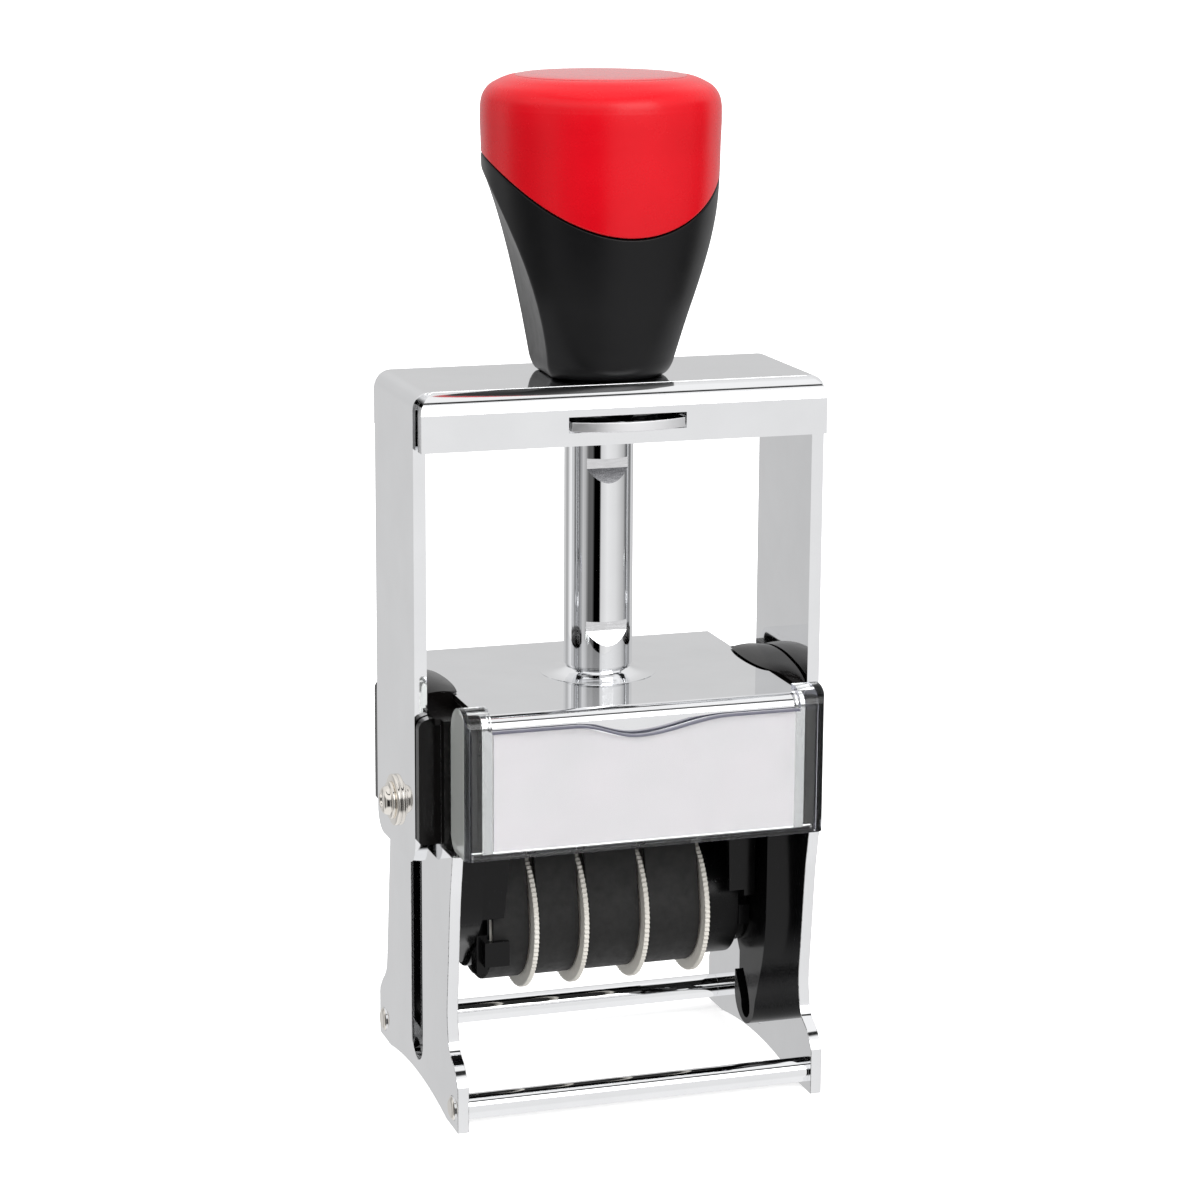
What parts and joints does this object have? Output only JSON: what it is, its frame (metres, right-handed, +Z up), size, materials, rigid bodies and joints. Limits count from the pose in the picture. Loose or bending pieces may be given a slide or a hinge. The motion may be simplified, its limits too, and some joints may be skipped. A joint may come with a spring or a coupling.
{
  "type": "self-inking date stamp",
  "caption": "Self-inking date stamp: a knob and chromed yoke slide down a central shaft and flip a band date unit between leg plates, from the ink pad to the paper.",
  "frame": {"origin": "on the desk, under the middle of the guide shaft", "axes": "+X to the stamp's right as seen from the label window, +Y to the rear, +Z up along the shaft"},
  "size_m": [0.0712, 0.051, 0.16],
  "materials": {
    "chrome_sheet": "mirror-bright chrome plate on folded sheet",
    "chrome_turned": "bright chrome on turned steel",
    "warm_chrome": "bright plated rivet with a warm tint",
    "bright_steel": "plain bright steel",
    "black_gloss": "satin to glossy black moulding",
    "black_plastic": "fine matte black moulding",
    "black_grip": "satin black moulding",
    "red_cap": "satin red moulding",
    "red_disc": "satin red insert",
    "clear_window": "clear polished",
    "white_card": "smooth white",
    "ink_felt": "inked felt",
    "plate_rubber": "matte moulded rubber",
    "band_rubber": "matte moulded rubber",
    "wheel_plastic": "off-white with a fine serrated rim"
  },
  "bodies": {
    "base": {"left_leg_plate": "chrome_sheet", "right_leg_plate": "chrome_sheet", "front_cross_rod": "chrome_turned", "rear_cross_rod": "chrome_turned", "housing_cover": "chrome_sheet", "left_cheek": "black_gloss", "right_cheek": "black_gloss", "left_cam_guide": "black_plastic", "right_cam_guide": "black_plastic", "guide_shaft": "chrome_turned", "shaft_collar": "chrome_turned", "shaft_nut": "bright_steel", "label_window": "clear_window", "label_card": "white_card", "left_pad_rail": "black_plastic", "right_pad_rail": "black_plastic", "return_spring": "bright_steel"},
    "ink_pad": {"ink_pad_tray": "black_plastic", "ink_pad_felt": "ink_felt"},
    "handle": {"yoke": "chrome_sheet", "knob_grip": "black_grip", "knob_cap": "red_cap", "knob_top_disc": "red_disc", "knob_screws": "bright_steel", "shaft_bushing": "black_plastic", "left_pivot_rivet": "warm_chrome", "right_pivot_rivet": "warm_chrome", "left_pivot_washer": "warm_chrome", "right_pivot_washer": "warm_chrome", "left_slot_bush": "bright_steel", "right_slot_bush": "bright_steel", "lock_spring": "bright_steel"},
    "lock": {"lock_tongue": "chrome_turned"},
    "date_unit": {"date_frame": "black_plastic", "plate_holder": "black_plastic", "text_plate": "plate_rubber", "band_anvil": "black_plastic", "wheel_axle": "bright_steel", "wheel_spacer": "black_plastic", "left_follower_pin": "bright_steel", "right_follower_pin": "bright_steel", "day_tens_band": "band_rubber", "day_units_band": "band_rubber", "month_band": "band_rubber", "year_band": "band_rubber"},
    "day_tens_setter": {"day_tens_wheel": "wheel_plastic"},
    "day_units_setter": {"day_units_wheel": "wheel_plastic"},
    "month_setter": {"month_wheel": "wheel_plastic"},
    "year_setter": {"year_wheel": "wheel_plastic"}
  },
  "joints": [
    {"name": "press", "type": "slide", "parent": "base", "child": "handle", "axis": [0, 0, -1], "range_m": [0, 0.0375], "stiffness_N_per_m": 400, "springref_m": -0.03, "deforming": ["return_spring"]},
    {"name": "flip", "type": "hinge", "parent": "handle", "child": "date_unit", "pos_m": [0, 0, 0.0472], "axis": [-1, 0, 0], "range_deg": [0, 180]},
    {"name": "lock_push", "type": "slide", "parent": "handle", "child": "lock", "axis": [0, 1, 0], "range_m": [0, 0.0012], "stiffness_N_per_m": 200, "springref_m": -0.008},
    {"name": "pad_draw", "type": "slide", "parent": "base", "child": "ink_pad", "axis": [0, 1, 0], "range_m": [0, 0.046]},
    {"name": "day_tens_turn", "type": "hinge", "parent": "date_unit", "child": "day_tens_setter", "pos_m": [0, 0, 0.02705], "axis": [1, 0, 0], "continuous": true},
    {"name": "day_units_turn", "type": "hinge", "parent": "date_unit", "child": "day_units_setter", "pos_m": [0, 0, 0.02705], "axis": [1, 0, 0], "continuous": true},
    {"name": "month_turn", "type": "hinge", "parent": "date_unit", "child": "month_setter", "pos_m": [0, 0, 0.02705], "axis": [1, 0, 0], "continuous": true},
    {"name": "year_turn", "type": "hinge", "parent": "date_unit", "child": "year_setter", "pos_m": [0, 0, 0.02705], "axis": [1, 0, 0], "continuous": true}
  ],
  "couplings": [
    {"joint": "flip", "follows": "press", "rad_per_m": 83.776}
  ]
}
